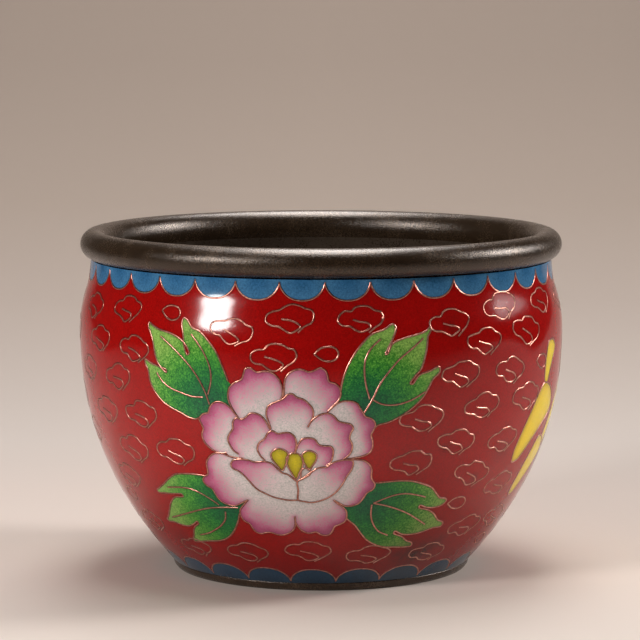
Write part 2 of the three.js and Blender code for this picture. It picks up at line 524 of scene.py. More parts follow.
# Leaves: outline, base that the petals hide, hub of the veins, reach of the dark heart in mm, veins
LEAVES = [
    # upper left
    ([(-21.1, 43.2), (-22.4, 45.7), (-24.0, 48.3), (-26.2, 50.3), (-28.3, 51.7), (-30.4, 52.3),
      (-31.6, 53.4), (-32.8, 53.9), (-33.2, 52.9), (-32.5, 50.8), (-32.2, 49.0), (-31.3, 47.4),
      (-30.8, 47.8), (-31.8, 49.2), (-33.8, 50.3), (-36.3, 51.0), (-39.7, 51.5), (-41.4, 52.0),
      (-42.9, 52.5), (-42.9, 51.8), (-42.0, 50.6), (-41.1, 49.0), (-40.5, 47.0), (-39.5, 45.3),
      (-37.3, 43.9), (-37.3, 44.4), (-39.7, 44.9), (-41.8, 45.3), (-43.7, 45.9), (-43.7, 45.2),
      (-42.8, 43.9), (-42.4, 42.0), (-40.9, 40.0), (-38.8, 38.5), (-36.3, 37.5), (-33.8, 36.8),
      (-32.1, 36.2), (-30.2, 35.9), (-28.6, 36.3)],
     [(-24.0, 34.0), (-18.0, 40.0)],
     (-26.5, 39.5), 13.5,
     [[(-26.0, 38.8), (-26.8, 40.7), (-28.3, 43.0), (-30.4, 45.2), (-32.9, 47.0), (-35.9, 48.8),
       (-38.9, 50.3)],
      [(-26.3, 40.6), (-25.4, 43.0), (-25.5, 45.3), (-26.8, 47.7), (-28.5, 49.5), (-30.4, 51.1)],
      [(-27.6, 40.0), (-30.4, 40.0), (-33.3, 40.5), (-36.7, 41.3), (-38.8, 42.4), (-40.2, 43.7)]]),
    # upper right
    ([(4.3, 41.0), (4.5, 42.7), (5.4, 45.3), (7.1, 48.0), (9.2, 50.2), (11.3, 51.7), (14.2, 52.5),
      (16.2, 53.4), (16.9, 52.8), (16.1, 50.9), (14.6, 48.7), (14.3, 48.1), (14.9, 48.3),
      (15.9, 49.9), (18.5, 50.8), (21.4, 51.3), (24.0, 51.9), (25.3, 52.7), (25.2, 51.9),
      (24.5, 51.0), (24.1, 49.0), (23.5, 47.0), (22.7, 45.3), (21.4, 44.2), (20.2, 42.8),
      (20.8, 42.7), (22.3, 44.2), (24.8, 44.8), (27.2, 45.5), (27.4, 44.6), (25.9, 43.5),
      (24.8, 42.0), (23.5, 40.3), (21.4, 38.7), (18.9, 37.3), (15.5, 36.0), (13.0, 35.5),
      (12.2, 35.0)],
     [(8.0, 36.0), (2.0, 39.0)],
     (10.6, 39.0), 13.5,
     [[(9.7, 37.8), (11.5, 40.2), (13.0, 42.7), (15.1, 45.0), (17.6, 47.2), (20.6, 49.0),
       (23.3, 50.7)],
      [(10.9, 40.3), (10.0, 42.7), (9.6, 45.0), (9.8, 47.3), (11.1, 49.3), (13.2, 50.8)],
      [(11.5, 40.2), (13.8, 39.3), (16.8, 39.1), (20.2, 39.7), (24.0, 41.2)]]),
    # lower left
    ([(-30.0, 24.9), (-32.6, 25.0), (-36.0, 24.9), (-39.3, 24.5), (-42.3, 23.3), (-44.8, 22.0),
      (-46.9, 21.1), (-48.6, 20.4), (-48.4, 19.9), (-45.7, 20.0), (-43.1, 20.1), (-39.2, 20.3),
      (-39.0, 19.9), (-42.3, 19.4), (-44.8, 18.0), (-46.9, 16.2), (-48.8, 14.6), (-50.6, 13.5),
      (-49.8, 13.2), (-47.8, 13.3), (-44.4, 12.9), (-41.9, 12.9), (-39.8, 13.4), (-37.3, 14.4),
      (-37.3, 13.9), (-39.3, 13.0), (-40.6, 11.9), (-41.6, 10.7), (-43.1, 9.4), (-42.5, 9.1),
      (-39.3, 9.4), (-36.0, 9.8), (-33.0, 10.1), (-30.0, 10.7), (-27.1, 12.0), (-25.0, 13.7),
      (-23.3, 15.7), (-22.4, 17.3)],
     [(-20.0, 20.0), (-25.0, 24.0)],
     (-25.0, 18.6), 16.0,
     [[(-22.4, 18.6), (-26.7, 18.4), (-30.9, 18.0), (-35.1, 17.2), (-39.3, 16.2), (-43.6, 15.2),
       (-47.3, 14.4)],
      [(-27.9, 18.9), (-30.0, 20.0), (-33.0, 21.2), (-36.0, 21.8), (-39.3, 21.8), (-43.8, 21.4)],
      [(-26.5, 17.5), (-27.3, 15.7), (-29.2, 14.2), (-31.7, 13.0), (-35.1, 11.8), (-38.7, 11.1)]]),
    # lower right
    ([(13.6, 24.3), (16.4, 24.4), (19.8, 24.5), (23.2, 24.2), (26.1, 23.5), (29.1, 22.5),
      (31.2, 21.0), (32.6, 20.1), (34.1, 19.9), (35.0, 19.4), (34.1, 18.5), (31.6, 18.1),
      (29.1, 18.3), (26.9, 18.9), (26.8, 18.4), (28.8, 17.9), (30.3, 17.5), (32.4, 16.5),
      (34.5, 15.0), (36.8, 14.2), (36.6, 13.4), (33.7, 13.2), (30.3, 12.5), (27.4, 12.2),
      (24.0, 12.4), (21.4, 13.3), (21.2, 12.8), (24.2, 11.8), (26.1, 10.7), (28.3, 10.0),
      (28.6, 9.3), (26.1, 9.1), (22.7, 9.3), (19.4, 9.5), (16.4, 10.2), (13.4, 11.5),
      (11.3, 13.2), (9.2, 15.2), (7.5, 16.3), (6.8, 16.8)],
     [(4.0, 19.0), (9.0, 23.0)],
     (12.0, 20.0), 16.0,
     [[(13.6, 20.0), (16.8, 19.4), (20.2, 18.5), (24.0, 17.2), (27.4, 15.7), (30.5, 14.3)],
      [(13.6, 20.0), (16.4, 20.9), (18.9, 21.5), (21.9, 21.7), (25.3, 21.2), (28.0, 20.6)],
      [(13.2, 19.7), (13.4, 17.3), (14.5, 15.2), (16.4, 13.5), (19.5, 12.4)]]),
]

# The motif's centre line, and the turn that carries it to the back, in degrees
MOTIF_MIDDLE = -6.0
BACK_TURN = 186.0

# Half outline of a drop: shares of its length and of its width
DROP_PROFILE = [(0.18, 0.5), (0.46, 0.5), (0.74, 0.27)]


def flip(places, turn, mirrored):
    """Places of the front motif, turned round the bowl, and mirrored about its own centre line."""
    places = np.asarray(places, float).copy()
    if mirrored:
        places[:, 0] = 2 * MOTIF_MIDDLE - places[:, 0]
    places[:, 0] += turn
    return places


def drop_outline(top, tip, width):
    """Rounded drop from its top centre down to its tip."""
    top, tip = to_plane([top, tip])
    axis = tip - top
    side = np.array([-axis[1], axis[0]]) / np.linalg.norm(axis)
    left = [top + axis * along + side * width * across for along, across in DROP_PROFILE]
    right = [top + axis * along - side * width * across for along, across in DROP_PROFILE]
    return smooth([top] + left + [tip] + right[::-1], closed=True)


def add_leaves(art, turn, mirrored, side_veins):
    for outline, hidden, hub, reach, veins in LEAVES:
        edge = to_plane(flip(outline, turn, mirrored))
        base = to_plane(flip(hidden, turn, mirrored))
        shape = np.concatenate([smooth(edge), base])
        hub_point = to_plane(flip([hub], turn, mirrored))[0]
        art.cell("leaves", shape, away(hub_point, reach))
        art.wire("flower_wires", smooth(edge))
        for vein in veins if side_veins else veins[:1]:
            art.wire("flower_wires", smooth(to_plane(flip(vein, turn, mirrored))))


def add_peony(art, turn, mirrored):
    core = to_plane(flip(PEONY_CORE, turn, mirrored))
    art.cell("peony_petals", core, away(core.mean(axis=0), CORE_REACH))
    for margin, closing, pink, white in PETALS:
        rim = smooth(to_plane(flip(margin, turn, mirrored)))
        rest = to_plane(flip([margin[-1]] + closing + [margin[0]], turn, mirrored))
        ends = to_plane(flip([white, pink], turn, mirrored))
        outline = np.concatenate([rim, smooth(rest)[1:-1]])
        art.cell("peony_petals", outline, fade(ends[0], ends[1], rim))
        art.wire("flower_wires", rim)
    for path in BOAT_WIRES:
        art.wire("flower_wires", smooth(to_plane(flip(path, turn, mirrored))))


def add_stamens(art, turn, mirrored):
    shapes = [("pale_drop",) + PALE_DROP] + [("stamens",) + stamen for stamen in STAMENS]
    for piece, top, tip, width in shapes:
        ends = flip([top, tip], turn, mirrored)
        shape = drop_outline(ends[0], ends[1], width)
        art.cell(piece, shape, near(shape, width / 2))
        art.wire("flower_wires", shape, closed=True, width=WIRE_WIDTH * STAMEN_WIRE_SHARE)


# Lappets along both edges
UPPER_COUNT = 34
UPPER_CUSP = 0.9
UPPER_DEPTH = 3.15
UPPER_CUSP_BELOW_EDGE = 0.45
LOWER_COUNT = 22
LOWER_CUSP = 5.3
LOWER_DEPTH = 3.4
LOWER_CUSP_RISE = 0.5
BEYOND_EDGE = 0.8
LAPPET_POINTS = 31
LAPPET_SIDE_POWER = 2.3
LAPPET_TIP_POWER = 0.62


def lappet(cusp_angle, pitch, cusp_rise, depth):
    """Scallop from cusp to cusp; a negative depth hangs down."""
    u = np.sin(np.linspace(-math.pi / 2, math.pi / 2, LAPPET_POINTS))
    angle = cusp_angle + pitch * (u + 1) / 2
    rise = cusp_rise + depth * (1 - np.abs(u) ** LAPPET_SIDE_POWER) ** LAPPET_TIP_POWER
    return to_plane(np.stack([angle, rise], axis=1))


def add_lappets(art):
    rows = [
        ("upper_lappets", UPPER_COUNT, UPPER_CUSP, wall.top - UPPER_CUSP_BELOW_EDGE, -UPPER_DEPTH,
         wall.top + BEYOND_EDGE),
        ("lower_lappets", LOWER_COUNT, LOWER_CUSP, LOWER_CUSP_RISE, LOWER_DEPTH, -BEYOND_EDGE),
    ]
    for piece, count, cusp, cusp_rise, depth, beyond in rows:
        pitch = FULL_TURN / count
        first = math.floor((SEAM - cusp) / pitch) - 1
        for k in range(first, first + count + 3):
            arch = lappet(cusp + k * pitch, pitch, cusp_rise, depth)
            ends = np.array([[arch[-1][0], beyond], [arch[0][0], beyond]])
            art.cell(piece, np.concatenate([arch, ends]), near(arch, abs(depth)))
            if k < first + count:
                art.wire("border_wires", arch)


# Yellow strokes: plain commas in rows, right of the flower, and on the far side in shorter rows.
# Each row has its rise, first angle on the right, angles on the far side, length, width and lean.
STROKE_ROWS = [
    (43.2, 68.2, [-93.8, -110.8], 8.8, 5.2, 18),
    (31.6, 64.4, [-114.6], 17.0, 10.0, 42),
    (22.8, 70.0, [-92.0, -109.0], 13.0, 8.4, 36),
]
STROKE_COUNT = 4
STROKE_PITCH = 17.0
STROKE_BEND = 0.16
STROKE_TAIL = 0.35
STROKE_END_POWER = 6
STROKE_POINTS = 13


def comma(length, width, lean):
    """Curved stroke, in mm about its middle, with a round head up on the right and a tail."""
    t = np.linspace(0, 1, STROKE_POINTS)
    taper = STROKE_TAIL + (1 - STROKE_TAIL) * t
    half = width / 2 * taper * np.sqrt(np.clip(1 - (2 * t - 1) ** STROKE_END_POWER, 0, 1))
    along = (t - 0.5) * length
    bend = STROKE_BEND * length * (0.25 - (t - 0.5) ** 2) * 2
    way = np.array([math.sin(math.radians(lean)), math.cos(math.radians(lean))])
    side = np.array([-way[1], way[0]])
    middle = along[:, None] * way + bend[:, None] * side
    left = middle + half[:, None] * side
    right = middle - half[:, None] * side
    return smooth(np.concatenate([left, right[-2:0:-1]]), closed=True)


def local_to_plane(local, centre):
    """Points in mm about a place on the wall, true to size there, as plane points."""
    rise = centre[1] + local[:, 1]
    angle = centre[0] + np.degrees(local[:, 0] / wall.radius_at(rise))
    return to_plane(np.stack([angle, rise], axis=1))


def inside(points, outline):
    """Which points are inside an outline."""
    x, y = points[:, 0][:, None], points[:, 1][:, None]
    x1, y1 = outline[:, 0], outline[:, 1]
    x2, y2 = np.roll(x1, -1), np.roll(y1, -1)
    crosses = (y1 > y) != (y2 > y)
    where = (x2 - x1) * (y - y1) / np.where(y2 == y1, 1e-9, y2 - y1) + x1
    return (np.sum(crosses & (x < where), axis=1) % 2) == 1


def bare_runs(shape, covers):
    """The runs of a closed outline that no covering outline hides, and whether any part is hidden."""
    hidden = np.zeros(len(shape), bool)
    for cover in covers:
        hidden |= inside(shape, cover)
    runs, run = [], []
    for i in np.roll(np.arange(len(shape)), -int(np.argmax(hidden))):
        if not hidden[i]:
            run.append(i)
        elif run:
            runs.append(shape[run])
            run = []
    return [r for r in runs + [shape[run]] if len(r) > 2], hidden.any()


def add_strokes(art):
    shapes = []
    for rise, first, far_angles, length, width, lean in STROKE_ROWS:
        for angle in [first + k * STROKE_PITCH for k in range(STROKE_COUNT)] + far_angles:
            shape = local_to_plane(comma(length, width, lean), (angle, rise))
            art.cell("yellow_strokes", shape, near(shape, width / 2))
            shapes.append(shape)
    for i, shape in enumerate(shapes):
        runs, cut = bare_runs(shape, shapes[i + 1:])
        for run in runs:
            art.wire("stroke_wires", run, closed=not cut)


# Clouds, each one bent wire: from its free end inside, round the hook and lobes to its tail
CLOUD = [(-1.5, 0.1), (-0.1, -0.3), (1.1, -0.7), (1.6, -1.3), (0.8, -2.0), (-0.3, -2.2),
         (-1.2, -1.7), (-2.0, -1.1), (-3.3, -0.9), (-4.1, -0.2), (-3.9, 0.9), (-2.8, 1.5),
         (-1.6, 1.6), (-0.9, 2.2), (0.3, 2.4), (1.6, 2.2), (2.5, 1.6), (3.6, 1.2), (4.0, 0.3),
         (3.4, -0.8), (2.3, -1.5), (1.1, -2.4)]
LOOP = [(-2.2, 0.3), (-1.2, 1.1), (0.2, 1.3), (1.5, 0.9), (2.0, 0.0), (1.6, -0.9), (0.4, -1.3),
        (-0.9, -0.9), (-2.2, 0.3)]

# Clouds that the photo shows: place, tilt in degrees, size
SEEN_CLOUDS = [
    (-51.5, 54.4, 4, 1.0), (-47.5, 47.4, -2, 1.0), (-54.4, 41.8, 6, 1.0), (-46.8, 35.5, 2, 1.05),
    (-37.4, 29.1, 0, 1.08), (-52.7, 28.4, -4, 1.08), (-20.4, 51.9, -8, 1.0), (-6.9, 54.4, 4, 1.05),
    (-10.5, 47.6, 2, 1.02), (9.1, 54.3, 2, 1.0), (30.5, 53.0, 6, 1.02), (46.5, 55.2, 8, 1.08),
    (40.1, 49.3, 0, 1.0), (55.2, 50.2, -10, 1.1), (33.3, 43.8, 0, 1.0), (48.8, 43.5, -4, 1.0),
    (23.7, 36.2, 4, 1.03), (40.1, 37.6, 6, 1.0), (56.4, 38.0, 0, 1.1), (33.7, 31.3, -4, 1.0),
    (49.5, 30.4, 4, 1.0), (22.1, 27.9, 2, 1.0), (41.1, 24.5, -12, 1.05), (54.0, 21.1, 8, 1.0),
    (47.1, 12.4, 6, 1.0), (-23.5, 7.8, 0, 1.0), (-3.8, 8.8, -2, 1.02), (15.0, 7.6, 4, 1.0),
    (36.2, 6.9, 0, 0.95), (64.5, 55.0, 0, 1.0), (-62.5, 48.2, 4, 1.0), (-62.0, 35.0, 0, 1.05),
    (-60.5, 22.2, -4, 1.0), (-68.0, 53.8, 0, 1.0), (-70.5, 42.0, 4, 1.0), (62.0, 13.0, -6, 1.0),
    (-43.5, 7.6, 0, 0.9),
]
SEEN_LOOPS = [(-36.6, 54.6, 0), (1.3, 48.3, 8), (39.1, 18.4, 4), (62.5, 44.0, 0)]

# Clouds of the sides that the photo hides: rows of (rise, clouds round the bowl, first angle)
CLOUD_ROWS = [(54.6, 23, 2.0), (48.6, 23, 9.8), (42.4, 23, 2.0), (36.2, 23, 9.8), (30.0, 23, 2.0),
              (24.0, 23, 9.8), (18.0, 21, 2.0), (12.4, 20, 10.0), (7.2, 18, 2.0)]
HIDDEN_FROM = 60.0
MOTIF_GAP = 0.9
CLOUD_GAP = 1.0
CLOUD_SEED = 7
CLOUD_WOBBLE = 0.12
ANGLE_JITTER = 1.2
RISE_JITTER = 0.5
TILT_JITTER = 9
LEAST_SIZE = 0.94
MOST_SIZE = 1.06


def turned_points(points, degrees, size):
    a = math.radians(degrees)
    points = np.asarray(points, float) * size
    return np.stack([points[:, 0] * math.cos(a) - points[:, 1] * math.sin(a),
                     points[:, 0] * math.sin(a) + points[:, 1] * math.cos(a)], axis=1)


def free_of(shape, outlines, gap):
    low, high = shape.min(axis=0) - gap, shape.max(axis=0) + gap
    for outline in outlines:
        if np.any(outline.max(axis=0) < low) or np.any(outline.min(axis=0) > high):
            continue
        if np.any(inside(shape, outline)):
            return False
        gaps = np.linalg.norm(shape[:, None, :] - outline[None, :, :], axis=2)
        if gaps.min() < gap:
            return False
    return True


def wobbled_cloud(rng):
    """The cloud's points, each one moved a little."""
    span = CLOUD_WOBBLE
    return [(x + rng.uniform(-span, span), y + rng.uniform(-span, span)) for x, y in CLOUD]


def bent_wire(points, tilt, size, place):
    return local_to_plane(smooth(turned_points(points, tilt, size)), place)


def add_clouds(art, rng):
    placed = []
    turn = np.array([FULL_TURN * PLANE_PER_DEGREE, 0])
    cells = [c["outline"] for c in art.cells]
    blocked = cells + [c + turn for c in cells] + [c - turn for c in cells]
    for angle, rise, tilt, size in SEEN_CLOUDS:
        placed.append(bent_wire(wobbled_cloud(rng), tilt, size, (angle, rise)))
    for angle, rise, tilt in SEEN_LOOPS:
        placed.append(bent_wire(LOOP, tilt, 1.0, (angle, rise)))
    for rise, count, first in CLOUD_ROWS:
        for k in range(count):
            angle = first + k * FULL_TURN / count + rng.uniform(-ANGLE_JITTER, ANGLE_JITTER)
            angle = (angle + FULL_TURN / 2) % FULL_TURN - FULL_TURN / 2
            tilt, size = rng.uniform(-TILT_JITTER, TILT_JITTER), rng.uniform(LEAST_SIZE, MOST_SIZE)
            place = (angle, rise + rng.uniform(-RISE_JITTER, RISE_JITTER))
            cloud = wobbled_cloud(rng)
            if abs(angle) < HIDDEN_FROM:
                continue
            for points in (cloud, LOOP):
                shape = bent_wire(points, tilt, size, place)
                if free_of(shape, blocked, MOTIF_GAP) and free_of(shape, placed, CLOUD_GAP):
                    placed.append(shape)
                    break
    for shape in placed:
        art.wire("cloud_wires", shape)


# Triangulation of the whole enamel face

def boundary_grid():
    """Points of the unrolled wall in staggered rows, with the edges that frame it."""
    x0 = SEAM * PLANE_PER_DEGREE
    width = FULL_TURN * PLANE_PER_DEGREE
    columns = int(round(width / GRID_STEP))
    rows = int(round(wall.top / (GRID_STEP * GRID_ROW_SHARE)))
    points, frame_ids = [], []
    for j in range(rows + 1):
        y = wall.top * j / rows
        offsets = np.arange(1, columns) + (0.5 if j % 2 and 0 < j < rows else 0.0)
        inner = [x0 + width * o / columns for o in offsets if o < columns - CLEAR_OF_SEAM]
        start = len(points)
        points += [(x, y) for x in [x0] + inner + [x0 + width]]
        frame_ids.append((start, len(points) - 1))
    edges = []
    for (a0, b0), (a1, b1) in zip(frame_ids, frame_ids[1:]):
        edges += [(a0, a1), (b0, b1)]
    for first, last in (frame_ids[0], frame_ids[-1]):
        edges += [(i, i + 1) for i in range(first, last)]
    on_frame = {i for edge in edges for i in edge}
    return points, edges, on_frame


def tree_of(points):
    tree = kdtree.KDTree(len(points))
    for i, (x, y) in enumerate(points):
        tree.insert((x, y, 0), i)
    tree.balance()
    return tree


def triangulate(art):
    """Plane points, triangles, each point's twin over the seam and each triangle's cell (-1 the ground)."""
    grid, edges, on_frame = boundary_grid()
    tree = tree_of(np.concatenate([c["outline"] for c in art.cells]))
    points, new_id = [], {}
    for i, (x, y) in enumerate(grid):
        if i in on_frame or tree.find((x, y, 0))[2] > CLEAR_OF_OUTLINE:
            new_id[i] = len(points)
            points.append(Vector((x, y)))
    edges = [(new_id[a], new_id[b]) for a, b in edges]
    loops = []
    for cell in art.cells:
        start = len(points)
        points += [Vector((x, y)) for x, y in cell["outline"]]
        loops.append(list(range(start, len(points))))
    verts, _, faces, _, _, owners = delaunay_2d_cdt(points, edges, loops, 0, SAME_POINT, True)
    verts = np.array([(v.x, v.y) for v in verts])
    faces = np.array([list(f) for f in faces])
    owner = np.array([max(o) if o else -1 for o in owners])
    centre = verts[faces].mean(axis=1)
    x0 = SEAM * PLANE_PER_DEGREE
    keep = (centre[:, 0] > x0) & (centre[:, 0] < x0 + FULL_TURN * PLANE_PER_DEGREE)
    keep &= (centre[:, 1] > 0) & (centre[:, 1] < wall.top)
    a, b, c = verts[faces[:, 0]], verts[faces[:, 1]], verts[faces[:, 2]]
    area = np.abs((b - a)[:, 0] * (c - a)[:, 1] - (b - a)[:, 1] * (c - a)[:, 0]) / 2
    keep &= area > LEAST_AREA
    return verts, faces[keep], seam_twins(verts), owner[keep]


def seam_twins(verts):
    """Each point's own number, or for one on the seam's right side that of its twin on the left."""
    x0 = SEAM * PLANE_PER_DEGREE
    x1 = x0 + FULL_TURN * PLANE_PER_DEGREE
    left = np.where(np.abs(verts[:, 0] - x0) < ON_SEAM)[0]
    right = np.where(np.abs(verts[:, 0] - x1) < ON_SEAM)[0]
    twin = np.arange(len(verts))
    for i in right:
        gaps = np.abs(verts[left, 1] - verts[i, 1])
        if gaps.min() < SEAM_TWIN:
            twin[i] = left[int(np.argmin(gaps))]
    return twin


# Stains and worn places in the ground: angle, rise, reach in mm, strength
STAINS = [
    (29.7, 6.8, 3.4, 0.95), (34.5, 7.6, 3.0, 0.8), (24.4, 7.1, 1.2, 0.7), (38.0, 9.5, 2.4, 0.5),
    (30.6, 30.2, 0.9, 0.6), (42.4, 23.7, 0.8, 0.6), (31.0, 52.5, 2.2, 0.45), (50.0, 28.0, 2.4, 0.35),
    (-24.0, 9.0, 2.6, 0.3), (-48.0, 9.0, 3.0, 0.35), (4.0, 6.2, 2.0, 0.3),
]


def stain_at(points):
    out = np.zeros(len(points))
    for angle, rise, reach, strength in STAINS:
        centre = to_plane([(angle, rise)])[0]
        gap = np.linalg.norm(points - centre, axis=1)
        out = np.maximum(out, strength * np.exp(-(gap / reach) ** 2))
    return out


def wire_nearness(verts, art):
    """1 on a wire, fading out within about a millimetre."""
    tree = tree_of(np.concatenate([w["path"] for w in art.wires]))
    gaps = np.array([tree.find((x, y, 0))[2] for x, y in verts])
    return np.exp(-np.clip(gaps - WIRE_WIDTH / 2, 0, None) / WIRE_DARKENING_REACH)


def add_enamel(art, materials):
    """One piece for each kind of enamel, cut from one skin without gaps."""
    verts, faces, twin, owner = triangulate(art)
    angle, rise = from_plane(verts)
    places, normals = wall.place(angle, rise, SKIN_DEPTH)
    nearness = wire_nearness(verts, art)
    stains = stain_at(verts)
    kinds = ["ground"] + sorted({c["piece"] for c in art.cells})
    kind_of = np.array([kinds.index(art.cells[o]["piece"]) if o >= 0 else 0 for o in owner])
    tints = np.zeros((len(faces), 3))
    for index, cell in enumerate(art.cells):
        mine = owner == index
        if mine.any():
            corners = verts[faces[mine]].reshape(-1, 2)
            tints[mine] = cell["tint"](corners).reshape(-1, 3)
    pieces = {}
    for number, kind in enumerate(kinds):
        mine = kind_of == number
        if not mine.any():
            continue
        own_faces = faces[mine]
        used, local = np.unique(twin[own_faces], return_inverse=True)
        local = local.reshape(-1, 3)
        name = "enamel_" + kind if kind == "ground" else kind
        slot = "red_enamel" if kind == "ground" else "coloured_enamel"
        points, shading, tri = places[used], normals[used], local.tolist()
        extra = 0
        if kind == "ground":
            points, shading, tri, extra = with_returns(points, shading, tri)
        piece = add_piece(name, points, tri, slot, shading, [materials[kind]])
        outer = len(own_faces) * 3
        paint = np.ones((outer + extra, 4))
        paint[:, :3] = 0
        paint[:outer, 0] = tints[mine].reshape(-1)
        paint[:outer, 1] = nearness[own_faces].reshape(-1)
        paint[:outer, 2] = stains[own_faces].reshape(-1)
        layer = piece.data.attributes.new("paint", "FLOAT_COLOR", "CORNER")
        layer.data.foreach_set("color", paint.reshape(-1))
        pieces[kind] = piece
    return pieces


def with_returns(points, shading, tri):
    """Close the coat with its edges at lip and foot and its inner face."""
    sides = BODY_SIDES
    turn = np.linspace(0, FULL_TURN, sides, endpoint=False)
    rises = np.linspace(0, wall.top, RETURN_ROWS)
    rings = [wall.place(turn, np.full(sides, 0.0), SKIN_DEPTH)]
    rings += [wall.place(turn, np.full(sides, r), RETURN_DEPTH) for r in rises]
    rings += [wall.place(turn, np.full(sides, wall.top), SKIN_DEPTH)]
    base = len(points)
    points = np.concatenate([points] + [ring[0] for ring in rings])
    shading = np.concatenate([shading] + [-ring[1] for ring in rings])
    quads = []
    for i in range(len(rings) - 1):
        low, high = base + i * sides, base + (i + 1) * sides
        for j in range(sides):
            k = (j + 1) % sides
            quads.append((low + k, low + j, high + j, high + k))
    return points, shading, tri + quads, 4 * len(quads)


# Wires

def ribbon(wire, points, faces, indices, shading):
    """Wire with a rounded sheen and dark flanks along a plane path, added to the lists."""
    path = wire["path"]
    gaps = np.linalg.norm(np.diff(path, axis=0), axis=1)
    path = path[np.concatenate([[True], gaps > SAME_PLACE])]
    angle, rise = from_plane(path)
    centre, normal = wall.place(angle, np.clip(rise, 0, wall.top), SKIN_DEPTH)
    if wire["closed"]:
        ahead = np.roll(centre, -1, axis=0) - np.roll(centre, 1, axis=0)
    else:
        ahead = np.gradient(centre, axis=0)
    ahead /= np.linalg.norm(ahead, axis=1)[:, None]
    side = np.cross(normal, ahead)
    half = wire["width"] / 2
    rows = [(-half - DARK_FLANK_WIDTH, -DARK_FLANK_SINK, -DARK_FLANK_LEAN), (-half, WIRE_RISE, -WIRE_LEAN),
            (half, WIRE_RISE, WIRE_LEAN), (half + DARK_FLANK_WIDTH, -DARK_FLANK_SINK, DARK_FLANK_LEAN)]
    start, count = len(points), len(path)
    for across, lift, lean in rows:
        points.extend((centre + side * across + normal * lift).tolist())
        way = normal + side * lean
        shading.extend((way / np.linalg.norm(way, axis=1)[:, None]).tolist())
    runs = count if wire["closed"] else count - 1
    for row in range(len(rows) - 1):
        for i in range(runs):
            j = (i + 1) % count
            a, b = start + row * count, start + (row + 1) * count
            faces.append((a + i, a + j, b + j, b + i))
            indices.append(0 if row == 1 else 1)
    if not wire["closed"]:
        for i in (0, count - 1):
            corners = [start + row * count + i for row in range(len(rows))]
            faces.append(corners if i == 0 else corners[::-1])
            indices.append(1)


def add_wires(art, materials):
    for piece in sorted({w["piece"] for w in art.wires}):
        points, faces, indices, shading = [], [], [], []
        for wire in art.wires:
            if wire["piece"] == piece:
                ribbon(wire, points, faces, indices, shading)
        add_piece(piece, points, faces, "wire_metal", shading, materials, indices)


# Materials

# Sizes of the noise in them, mm
ENAMEL_GRAIN = 0.34
ENAMEL_CLOUDING = 1.6
ENAMEL_WEAR = 7.0
ENAMEL_PITS = 0.55
ENAMEL_WAVES = 3.2
WIRE_MOTTLE = 0.5
DARK_FLANK_MOTTLE = 0.6
PATINA_MOTTLE = 5.0
PATINA_GRAIN = 0.30


def srgb(red, green, blue):
    """Screen colour, 0 to 255, as a linear colour."""
    out = []
    for value in (red, green, blue):
        v = value / 255
        out.append(v / 12.92 if v <= 0.04045 else ((v + 0.055) / 1.055) ** 2.4)
    return (*out, 1.0)


class Shader:
    """A material with one Principled surface and short calls for its nodes."""

    def __init__(self, name, **plain):
        self.material = bpy.data.materials.new(name)
        self.material.use_nodes = True
        self.tree = self.material.node_tree
        self.surface = self.tree.nodes["Principled BSDF"]
        for socket, value in plain.items():
            self.surface.inputs[socket.replace("_", " ")].default_value = value
        self.place = self.tree.nodes.new("ShaderNodeTexCoord").outputs["Object"]

    def link(self, source, target):
        self.tree.links.new(source, target)

    def noise(self, size_mm, detail, roughness=0.5):
        node = self.tree.nodes.new("ShaderNodeTexNoise")
        node.inputs["Scale"].default_value = 1 / (size_mm * MM)
        node.inputs["Detail"].default_value = detail
        node.inputs["Roughness"].default_value = roughness
        self.link(self.place, node.inputs["Vector"])
        return node.outputs["Fac"]

    def math(self, operation, a, b=0.5, c=0.5, clamp=False):
        node = self.tree.nodes.new("ShaderNodeMath")
        node.operation = operation
        node.use_clamp = clamp
        for socket, value in zip(node.inputs, (a, b, c)):
            if isinstance(value, (int, float)):
                socket.default_value = value
            else:
                self.link(value, socket)
        return node.outputs["Value"]

    def about(self, noise, amount, base):
        """A base moved up and down by a noise."""
        return self.math("MULTIPLY_ADD", self.math("SUBTRACT", noise, 0.5), amount, base)

    def axis(self, letter):
        node = self.tree.nodes.new("ShaderNodeSeparateXYZ")
        self.link(self.place, node.inputs["Vector"])
        return node.outputs[letter]

    def ramp(self, factor, stops):
        node = self.tree.nodes.new("ShaderNodeValToRGB")
        ramp = node.color_ramp
        while len(ramp.elements) < len(stops):
            ramp.elements.new(0.5)
        for element, (position, colour) in zip(ramp.elements, stops):
            element.position = position
            element.color = colour
        self.link(factor, node.inputs["Fac"])
        return node.outputs["Color"]

    def mix(self, factor, a, b, blend="MIX"):
        node = self.tree.nodes.new("ShaderNodeMix")
        node.data_type = "RGBA"
        node.blend_type = blend
        for socket, value in zip((node.inputs[0], node.inputs[6], node.inputs[7]), (factor, a, b)):
            if isinstance(value, (int, float, tuple)):
                socket.default_value = value
            else:
                self.link(value, socket)
        return node.outputs[2]

    def scale(self, colour, factor):
        node = self.tree.nodes.new("ShaderNodeVectorMath")
        node.operation = "SCALE"
        self.link(colour, node.inputs[0])
        self.link(factor, node.inputs["Scale"])
        return node.outputs["Vector"]

    def paint(self):
        """The tint, wire nearness and stain that the mesh carries."""
        node = self.tree.nodes.new("ShaderNodeAttribute")
        node.attribute_name = "paint"
        split = self.tree.nodes.new("ShaderNodeSeparateColor")
        self.link(node.outputs["Color"], split.inputs["Color"])
        return split.outputs["Red"], split.outputs["Green"], split.outputs["Blue"]

    def bump(self, height, distance_mm, strength):
        node = self.tree.nodes.new("ShaderNodeBump")
        node.inputs["Distance"].default_value = distance_mm * MM
        node.inputs["Strength"].default_value = strength
        self.link(height, node.inputs["Height"])
        self.link(node.outputs["Normal"], self.surface.inputs["Normal"])

    def grey(self, value):
        return (value, value, value, 1.0)


